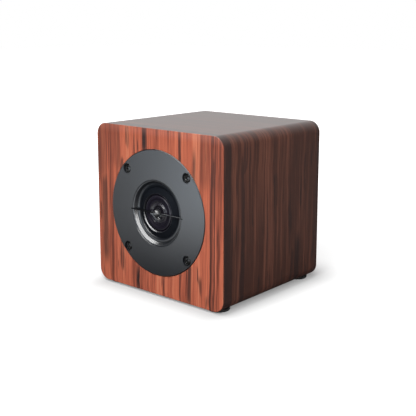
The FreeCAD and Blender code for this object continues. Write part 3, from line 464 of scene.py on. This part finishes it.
FINISH_OF = {
    "top_panel": fibreboard,
    "bottom_panel": fibreboard,
    "left_panel": fibreboard,
    "right_panel": fibreboard,
    "front_baffle": fibreboard,
    "rear_panel": fibreboard,
    "side_veneer": wall_rosewood_with_painted_shade,
    "front_veneer": front_rosewood,
    "rear_veneer": rear_rosewood,
    "rubber_feet": rubber,
    "faceplate": satin_black,
    "phase_bar": bar_black_with_painted_highlight,
    "faceplate_gasket": foam,
    "faceplate_screws": screw_black,
    "dome": dome_coat,
    "surround": roll_coat,
    "coil_former": foil,
    "voice_coil": copper,
    "carrier_ring": moulded,
    "top_plate": zinc,
    "magnet": ferrite,
    "pole_yoke": zinc,
    "pole_felt": felt,
    "rear_chamber": moulded,
    "chamber_felt_pad": felt,
    "motor_screws": zinc,
    "tab_strip": board,
    "solder_tabs": tin,
    "terminal_cup": moulded,
    "cup_gasket_ring": foam,
    "cup_screws": screw_black,
    "post_collar_black": post_black,
    "post_collar_red": post_red,
    "post_stud_black": nickel,
    "post_stud_red": nickel,
    "cap_insert_black": nickel,
    "cap_insert_red": nickel,
    "post_cap_black": post_black,
    "post_cap_red": post_red,
    "post_nuts": nickel,
    "post_tags": tin,
    "filter_board": board,
    "board_screws": zinc,
    "capacitor": film,
    "damping_wad": wad,
    "lead_post_to_filter": lead_red,
    "lead_filter_to_driver": lead_red,
    "lead_post_to_driver": lead_black,
}
for node_name, finish in FINISH_OF.items():
    dress(node_name, finish)


# Turned pieces: felt, gaskets, the surround and the dome, about the driver's or the cup's axis.

FRONT = cad_low[1] + 0.0025
DRIVER_AXIS = (0.0, FRONT, DRIVER_HEIGHT * MM)
CUP_AXIS = (0.0, FRONT, CUP_HEIGHT * MM)
ROUND_STEPS = 192


def arc(centre, radius, start, end, steps=10):
    """Points along an arc of an outline, with angles in degrees from straight outward."""
    points = []
    for index in range(steps + 1):
        angle = math.radians(start + (end - start) * index / steps)
        points.append((centre[0] + radius * math.cos(angle), centre[1] + radius * math.sin(angle)))
    return points


def soft_ring(inner, outer, front, back, corner):
    """A ring's section with rounded corners, as (radius, depth) points in mm."""
    points = []
    points += arc((outer - corner, front + corner), corner, -90, 0, 4)
    points += arc((outer - corner, back - corner), corner, 0, 90, 4)
    points += arc((inner + corner, back - corner), corner, 90, 180, 4)
    points += arc((inner + corner, front + corner), corner, 180, 270, 4)
    return points


def turned(name, outline, axis, finish, ruffle=0.0, steps=ROUND_STEPS):
    """A closed outline of (radius, depth) points in mm, turned about an axis along Y."""
    mesh = bpy.data.meshes.new(name)
    built = bmesh.new()
    rings = []
    for step in range(steps):
        angle = 2 * math.pi * step / steps
        ring = []
        for radius, depth in outline:
            place = Vector((radius * math.cos(angle), depth, radius * math.sin(angle)))
            if ruffle:
                place += ruffle * noise.noise_vector(place * RUFFLE_PITCH)
            ring.append(built.verts.new(Vector(axis) + place * MM))
        rings.append(ring)
    count = len(outline)
    for step in range(steps):
        here = rings[step]
        there = rings[(step + 1) % steps]
        for index in range(count):
            following = (index + 1) % count
            corners = (here[index], here[following], there[following], there[index])
            built.faces.new(corners)
    bmesh.ops.remove_doubles(built, verts=built.verts, dist=MERGE_DISTANCE)
    bmesh.ops.recalc_face_normals(built, faces=built.faces)
    built.to_mesh(mesh)
    built.free()
    mesh.materials.append(finish.material)
    smooth_by_angle(mesh, 35)
    piece = bpy.data.objects.new(name, mesh)
    bpy.context.scene.collection.objects.link(piece)
    return piece


def smooth_by_angle(mesh, degrees):
    mesh.polygons.foreach_set("use_smooth", [True] * len(mesh.polygons))
    mesh.set_sharp_from_angle(angle=math.radians(degrees))


def stand_for(piece, node, body):
    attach(piece, body)
    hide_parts(node)


def make_soft_rings():
    """Felt and gaskets, with the rounded, slightly uneven edges of cut felt and foam."""
    felts = [
        ("pole_felt", "pole_felt", (4.0, 8.95, 6.1, 7.3, 0.4), 0.05),
        ("chamber_felt", "chamber_felt_pad", (0.02, 22.9, 35.8, 41.8, 0.9), 0.12),
    ]
    gaskets = [
        ("plate_gasket", "faceplate_gasket", (38.0, 50.5, 3.5, 4.5, 0.25), DRIVER_AXIS),
        ("cup_gasket", "cup_gasket_ring", (28.8, 36.4, 129.0, 130.0, 0.25), CUP_AXIS),
    ]
    for name, node, section, ruffle in felts:
        piece = turned(f"{name}_piece", soft_ring(*section), DRIVER_AXIS, felt, ruffle)
        stand_for(piece, node, "cabinet")
    for name, node, section, axis in gaskets:
        piece = turned(f"{name}_piece", soft_ring(*section), axis, foam, 0.03)
        stand_for(piece, node, "cabinet")


def make_dome():
    """The dipped diaphragm, with a rounded ring pressed outward round its middle."""
    rim, flat, dip, wall, front = 10.9, 9.9, 2.6, 0.4, 2.2
    ring_centre, ring_half, ring_rise, count = 6.3, 1.7, 1.5, 54
    bowl = (flat * flat + dip * dip) / (2 * dip)
    face = []
    for index in range(count + 1):
        radius = rim * index / count
        depth = front
        if radius < flat:
            depth += dip - bowl + math.sqrt(bowl * bowl - radius * radius)
        across = (radius - ring_centre) / ring_half
        if abs(across) < 1:
            depth -= ring_rise * 0.5 * (1 + math.cos(math.pi * across))
        face.append((radius, depth))
    back = [(radius, depth + wall) for radius, depth in reversed(face)]
    piece = turned("dome_shell", face + back, DRIVER_AXIS, dome_coat)
    stand_for(piece, "dome", "diaphragm")


def make_surround():
    """The low roll, which moves with the diaphragm, and its flange, glued in the hub."""
    roll_centre, half, rise, wall, flat = 12.9, 1.95, 1.2, 0.3, 2.6
    glued_edge, foot, foot_inside, foot_depth = 10.62, 15.1, 14.8, 0.9
    flange_inner, flange_outer, flange_corner = 15.15, 17.7, 0.1
    bend = (half * half + rise * rise) / (2 * rise)
    edge = math.degrees(math.asin(half / bend))
    middle = flat - rise + bend
    roll = [(glued_edge, flat + wall), (glued_edge, flat)]
    roll += arc((roll_centre, middle), bend, -90 - edge, -90 + edge, 24)
    roll += [(15.05, flat + 0.12), (foot, flat + foot_depth), (foot_inside, flat + foot_depth)]
    inner_edge = math.degrees(math.acos((bend - rise) / (bend - wall)))
    roll += arc((roll_centre, middle), bend - wall, -90 + inner_edge, -90 - inner_edge, 24)
    piece = turned("surround_roll", roll, DRIVER_AXIS, roll_coat)
    stand_for(piece, "surround", "diaphragm")
    flange_section = soft_ring(flange_inner, flange_outer, flat, flat + wall, flange_corner)
    flange = turned("surround_flange", flange_section, DRIVER_AXIS, roll_coat)
    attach(flange, "cabinet")


WAD_FACE = 0.0025
WAD_LUMPS = ((0.07, 0.9), (0.25, 0.45))
WAD_INSET = 1.5


def make_wad():
    """The loose fibre filling, puffed and uneven, inside the space that its solid holds.

    WAD_LUMPS holds the pitch of each noise, for a point in mm, and its height in mm.
    """
    mesh = NODES["damping_wad"].data.copy()
    built = bmesh.new()
    built.from_mesh(mesh)
    bmesh.ops.remove_doubles(built, verts=built.verts, dist=1e-6)
    built.to_mesh(mesh)
    built.free()
    piece = bpy.data.objects.new("wad_blank", mesh)
    bpy.context.scene.collection.objects.link(piece)
    remesh = piece.modifiers.new("even_faces", "REMESH")
    remesh.mode = "VOXEL"
    remesh.voxel_size = WAD_FACE
    graph = bpy.context.evaluated_depsgraph_get()
    puffed = bpy.data.meshes.new_from_object(piece.evaluated_get(graph))
    bpy.data.objects.remove(piece)
    normals = [vertex.normal.copy() for vertex in puffed.vertices]
    for vertex, normal in zip(puffed.vertices, normals):
        point = vertex.co * 1000.0
        lump = sum(noise.noise(point * pitch) * height for pitch, height in WAD_LUMPS)
        vertex.co += normal * ((lump - WAD_INSET) * MM)
    puffed.materials.clear()
    puffed.materials.append(wad.material)
    puffed.polygons.foreach_set("use_smooth", [True] * len(puffed.polygons))
    piece = bpy.data.objects.new("fibre_filling", puffed)
    bpy.context.scene.collection.objects.link(piece)
    stand_for(piece, "damping_wad", "cabinet")


# Screws: one pan-headed screw with a cross recess, set round a circle by Geometry Nodes.


def screw_mesh(name, head, rim, dome, shank, length, finish):
    """A screw along Y with its head towards -Y and the head's seat at the origin."""
    steps = 72
    dome_steps = 26
    recess = head * 0.56
    arm = head * 0.125
    deep = (rim + dome) * 0.62
    outline = []
    for index in range(dome_steps + 1):
        turn = math.pi / 2 * index / dome_steps
        outline.append((head * math.sin(turn), -rim - dome * abs(math.cos(turn)) ** 0.8))
    outline += [(head, -rim * 0.5), (head * 0.985, 0)]
    outline += [(shank, 0), (shank, length * 0.8), (0.05, length)]
    built = bmesh.new()
    rings = []
    for step in range(steps):
        angle = 2 * math.pi * step / steps
        ring = []
        for radius, depth in outline:
            across = radius * math.cos(angle)
            up = radius * math.sin(angle)
            narrow = min(abs(across), abs(up))
            far = max(abs(across), abs(up))
            if depth < -rim and far < recess and narrow < arm:
                depth += deep * (1 - (far / recess) ** 3)
            ring.append(built.verts.new(Vector((across, depth, up)) * MM))
        rings.append(ring)
    for step in range(steps):
        here = rings[step]
        there = rings[(step + 1) % steps]
        for index in range(len(outline) - 1):
            built.faces.new((here[index], here[index + 1], there[index + 1], there[index]))
    built.faces.new([ring[-1] for ring in reversed(rings)])
    bmesh.ops.remove_doubles(built, verts=built.verts, dist=MERGE_DISTANCE)
    bmesh.ops.recalc_face_normals(built, faces=built.faces)
    mesh = bpy.data.meshes.new(name)
    built.to_mesh(mesh)
    built.free()
    mesh.materials.append(finish.material)
    smooth_by_angle(mesh, 30)
    return mesh


def ring_tree():
    """Puts one object round a circle, each turned by its own amount about its axis."""
    tree = bpy.data.node_groups.new("ring_of_screws", "GeometryNodeTree")
    for name, kind in (
        ("Screw", "NodeSocketObject"),
        ("Screws", "NodeSocketInt"),
        ("Circle radius", "NodeSocketFloat"),
        ("First angle", "NodeSocketFloat"),
        ("Middle", "NodeSocketVector"),
        ("Facing", "NodeSocketFloat"),
        ("Seed", "NodeSocketInt"),
        ("Finish", "NodeSocketMaterial"),
    ):
        tree.interface.new_socket(name, in_out="INPUT", socket_type=kind)
    tree.interface.new_socket("Geometry", in_out="OUTPUT", socket_type="NodeSocketGeometry")
    add = tree.nodes.new
    link = tree.links.new
    given = add("NodeGroupInput").outputs
    circle = add("GeometryNodeMeshCircle")
    link(given["Screws"], circle.inputs["Vertices"])
    link(given["Circle radius"], circle.inputs["Radius"])
    first = add("ShaderNodeCombineXYZ")
    link(given["First angle"], first.inputs["Z"])
    spun = add("GeometryNodeTransform")
    link(circle.outputs[0], spun.inputs["Geometry"])
    link(first.outputs[0], spun.inputs["Rotation"])
    upright = add("GeometryNodeTransform")
    upright.inputs["Rotation"].default_value = (math.pi / 2, 0, 0)
    link(spun.outputs[0], upright.inputs["Geometry"])
    link(given["Middle"], upright.inputs["Translation"])
    screw = add("GeometryNodeObjectInfo")
    link(given["Screw"], screw.inputs["Object"])
    turn = add("FunctionNodeRandomValue")
    turn.data_type = "FLOAT"
    turn.inputs[2].default_value = 0.0
    turn.inputs[3].default_value = math.pi
    link(given["Seed"], turn.inputs["Seed"])
    rotation = add("ShaderNodeCombineXYZ")
    link(turn.outputs[1], rotation.inputs["Y"])
    link(given["Facing"], rotation.inputs["Z"])
    placed = add("GeometryNodeInstanceOnPoints")
    link(upright.outputs[0], placed.inputs["Points"])
    link(screw.outputs["Geometry"], placed.inputs["Instance"])
    link(rotation.outputs[0], placed.inputs["Rotation"])
    real = add("GeometryNodeRealizeInstances")
    link(placed.outputs[0], real.inputs[0])
    coated = add("GeometryNodeSetMaterial")
    link(real.outputs[0], coated.inputs["Geometry"])
    link(given["Finish"], coated.inputs["Material"])
    link(coated.outputs[0], add("NodeGroupOutput").inputs[0])
    return tree


def ring_of_screws(name, node, mesh, middle, facing, circle_radius, seed, finish):
    one = bpy.data.objects.new(f"{name}_pattern", mesh)
    bpy.context.scene.collection.objects.link(one)
    host = bpy.data.objects.new(f"{name}_host", bpy.data.meshes.new(f"{name}_host"))
    bpy.context.scene.collection.objects.link(host)
    repeat = host.modifiers.new("ring", "NODES")
    repeat.node_group = SCREW_RING
    values = {
        "Screw": one,
        "Screws": 4,
        "Circle radius": circle_radius * MM,
        "First angle": math.radians(45),
        "Middle": middle,
        "Facing": facing,
        "Seed": seed,
        "Finish": finish.material,
    }
    for item in SCREW_RING.interface.items_tree:
        if item.in_out == "INPUT":
            repeat[item.identifier] = values[item.name]
    graph = bpy.context.evaluated_depsgraph_get()
    made = bpy.data.meshes.new_from_object(host.evaluated_get(graph))
    bpy.data.objects.remove(host)
    bpy.data.objects.remove(one)
    piece = bpy.data.objects.new(name, made)
    bpy.context.scene.collection.objects.link(piece)
    stand_for(piece, node, "cabinet")


make_soft_rings()
make_dome()
make_surround()
make_wad()
SCREW_RING = ring_tree()
ring_of_screws(
    "plate_screws",
    "faceplate_screws",
    screw_mesh("plate_screw", 3.5, 0.2, 1.25, 1.7, 16.8, screw_black),
    (0.0, FRONT + 1.2 * MM, DRIVER_AXIS[2]),
    0.0,
    47.0,
    4,
    screw_black,
)
ring_of_screws(
    "terminal_screws",
    "cup_screws",
    screw_mesh("terminal_screw", 2.85, 0.2, 1.05, 1.4, 12.8, screw_black),
    (0.0, FRONT + 132.4 * MM, CUP_AXIS[2]),
    math.pi,
    33.0,
    9,
    screw_black,
)


# The studio: a pale floor, its surroundings and three softboxes. Lengths are in mm, turns in degrees.

# The shadow round the box is painted: the floor's glow is weaker near the box.
SHADOW_CORE = (58.0, 54.0)
SHADOW_REACH = (38.0, 54.0)
SHADOW_START = 0.26
SHADOW_LIFT = 0.58
FAR_LIFT = 0.5
FAR_FADE = (150.0, 420.0)
FLOOR_GLOW = 0.19
# The pool is a painted reflection, seen only by mirrored rays.
POOL_CENTRE_AHEAD = 65.6
POOL_EDGE = (38.5, 45.0)
PAINTED_POOL_GLOW = 3.0
POOL_COLOUR = (0.82, 0.91, 1.0)
POOL_FAR_EDGE = (60.0, 420.0)
POOL_LEFT_EDGE = (-40.0, 10.0)
MIRRORED_FADE = (60.0, 300.0)
MIRRORED_RISE = 0.4
MIRRORED_LEAST = 0.04
WHITE = (1.0, 1.0, 1.0)
BLACK = (0.0, 0.0, 0.0)


def make_floor():
    """The camera sees a glow that is weaker near the box, which paints a shadow round it. Mirrored
    rays see a pool and a fade.
    """
    mesh = bpy.data.meshes.new("studio_floor")
    reach = 6.0
    corners = [(-reach, -reach, 0), (reach, -reach, 0), (reach, reach, 0), (-reach, reach, 0)]
    mesh.from_pydata(corners, [], [(0, 1, 2, 3)])
    floor = bpy.data.objects.new("studio_floor", mesh)
    bpy.context.scene.collection.objects.link(floor)
    paint = Finish("studio_floor")
    paint.tree.nodes.remove(paint.shader)
    x, y, z = paint.axes()
    distance = (x * x + y * y) ** 0.5
    rays = paint.add("ShaderNodeLightPath")
    seen = Value(paint, rays.outputs["Is Camera Ray"]) + Value(
        paint, rays.outputs["Is Transmission Ray"]
    )
    white = paint.mix(seen, (0.85, 0.85, 0.85), (0.3, 0.3, 0.3))
    matt = paint.add("ShaderNodeBsdfDiffuse", {}, (white, 1.0))
    # Painted shadow: the glow is weaker close to the box.
    out_x = (x.size() - SHADOW_CORE[0]).most(0.0) / SHADOW_REACH[0]
    out_y = (y.size() - SHADOW_CORE[1]).most(0.0) / SHADOW_REACH[1]
    beside = ((out_x * out_x + out_y * out_y) ** 0.5 - SHADOW_START).held()
    near = 1 - (1 - beside) * (1 - beside)
    glow_with_painted_shadow = near * SHADOW_LIFT + distance.step(*FAR_FADE) * FAR_LIFT + FLOOR_GLOW
    glow = paint.add("ShaderNodeEmission", {}, (WHITE, glow_with_painted_shadow))
    dark = paint.add("ShaderNodeEmission", {}, (BLACK, 0.0))
    lit = paint.add("ShaderNodeMixShader", {}, (seen, dark.outputs[0], glow.outputs[0]))
    both = paint.add("ShaderNodeAddShader", {}, (matt.outputs[0], lit.outputs[0]))
    # Glossy rays see a bright bluish pool on the floor in front of the faceplate, glowing at about
    # three times white though it is no lamp: a painted reflection.
    ahead = y * -1 - POOL_CENTRE_AHEAD
    turn = (x * -1).math("ARCTAN2", ahead) * math.degrees(1)
    apart = (x * x + ahead * ahead) ** 0.5
    pool = turn.step(POOL_EDGE[1], POOL_EDGE[0]) * apart.step(*POOL_FAR_EDGE)
    pool = pool * turn.step(*POOL_LEFT_EDGE)
    rest = distance.step(*MIRRORED_FADE) * MIRRORED_RISE + MIRRORED_LEAST
    colour = paint.mix(pool, WHITE, POOL_COLOUR)
    shine = paint.add("ShaderNodeEmission", {}, (colour, pool * PAINTED_POOL_GLOW + rest))
    mirrored = Value(paint, rays.outputs["Is Glossy Ray"])
    whole = paint.add("ShaderNodeMixShader", {}, (mirrored, both.outputs[0], shine.outputs[0]))
    paint.tree.links.new(whole.outputs[0], paint.output.inputs[0])
    mesh.materials.append(paint.material)


DIM_LIGHT = 0.14
FADE_PLACES = (0.1, 0.6)
FADE_STRENGTHS = (0.02, 0.95)


def make_surroundings():
    """White for the camera, a fade from the front to the back for mirrored rays, else dim."""
    world = bpy.data.worlds.new("studio")
    world.use_nodes = True
    bpy.context.scene.world = world
    tree = world.node_tree
    tree.nodes.clear()
    output = tree.nodes.new("ShaderNodeOutputWorld")
    rays = tree.nodes.new("ShaderNodeLightPath")

    def background(strength):
        made = tree.nodes.new("ShaderNodeBackground")
        made.inputs[0].default_value = (*WHITE, 1.0)
        made.inputs[1].default_value = strength
        return made

    white = background(1.0)
    dim = background(DIM_LIGHT)
    backdrop = background(1.0)
    direction = tree.nodes.new("ShaderNodeTexCoord")
    parts = tree.nodes.new("ShaderNodeSeparateXYZ")
    tree.links.new(direction.outputs["Generated"], parts.inputs[0])
    fade = tree.nodes.new("ShaderNodeMapRange")
    fade.interpolation_type = "SMOOTHSTEP"
    for index, number in enumerate(FADE_PLACES + FADE_STRENGTHS, start=1):
        fade.inputs[index].default_value = number
    tree.links.new(parts.outputs[1], fade.inputs[0])
    tree.links.new(fade.outputs[0], backdrop.inputs[1])
    shine = tree.nodes.new("ShaderNodeMixShader")
    tree.links.new(rays.outputs["Is Glossy Ray"], shine.inputs[0])
    tree.links.new(dim.outputs[0], shine.inputs[1])
    tree.links.new(backdrop.outputs[0], shine.inputs[2])
    seen = tree.nodes.new("ShaderNodeMath")
    seen.operation = "MAXIMUM"
    tree.links.new(rays.outputs["Is Camera Ray"], seen.inputs[0])
    tree.links.new(rays.outputs["Is Transmission Ray"], seen.inputs[1])
    whole = tree.nodes.new("ShaderNodeMixShader")
    tree.links.new(seen.outputs[0], whole.inputs[0])
    tree.links.new(shine.outputs[0], whole.inputs[1])
    tree.links.new(white.outputs[0], whole.inputs[2])
    tree.links.new(whole.outputs[0], output.inputs[0])


def make_softbox(name, place, aim, width, height, radiance, along=None, mirrored=True):
    """An area lamp that faces its aim, with its width lying as near to along as it can."""
    data = bpy.data.lights.new(name, "AREA")
    data.shape = "RECTANGLE"
    data.size = width
    data.size_y = height
    data.energy = radiance * math.pi * width * height
    lamp = bpy.data.objects.new(name, data)
    lamp.location = place
    lamp.visible_camera = False
    lamp.visible_glossy = mirrored
    facing = (Vector(place) - Vector(aim)).normalized()
    across = Vector(along or (-facing.y, facing.x, 0))
    across = (across - facing * across.dot(facing)).normalized()
    turned_to = Matrix((across, facing.cross(across), facing)).transposed()
    lamp.rotation_euler = turned_to.to_euler()
    bpy.context.scene.collection.objects.link(lamp)


PLATE_MIDDLE = (0, -0.066, 0.07)
LONG_SIDE = (1.6, -0.47, -0.57)

make_floor()
make_surroundings()
make_softbox("long_softbox", (0.21, -0.487, 0.664), PLATE_MIDDLE, 2.4, 0.15, 16.0, along=LONG_SIDE)
make_softbox("front_softbox", (0.05, -1.05, 0.72), PLATE_MIDDLE, 0.8, 0.25, 7.0)
make_softbox("low_softbox", (0.2, -1.2, 0.14), PLATE_MIDDLE, 0.4, 0.25, 9.0, mirrored=False)

bpy.context.scene.view_settings.view_transform = "Standard"
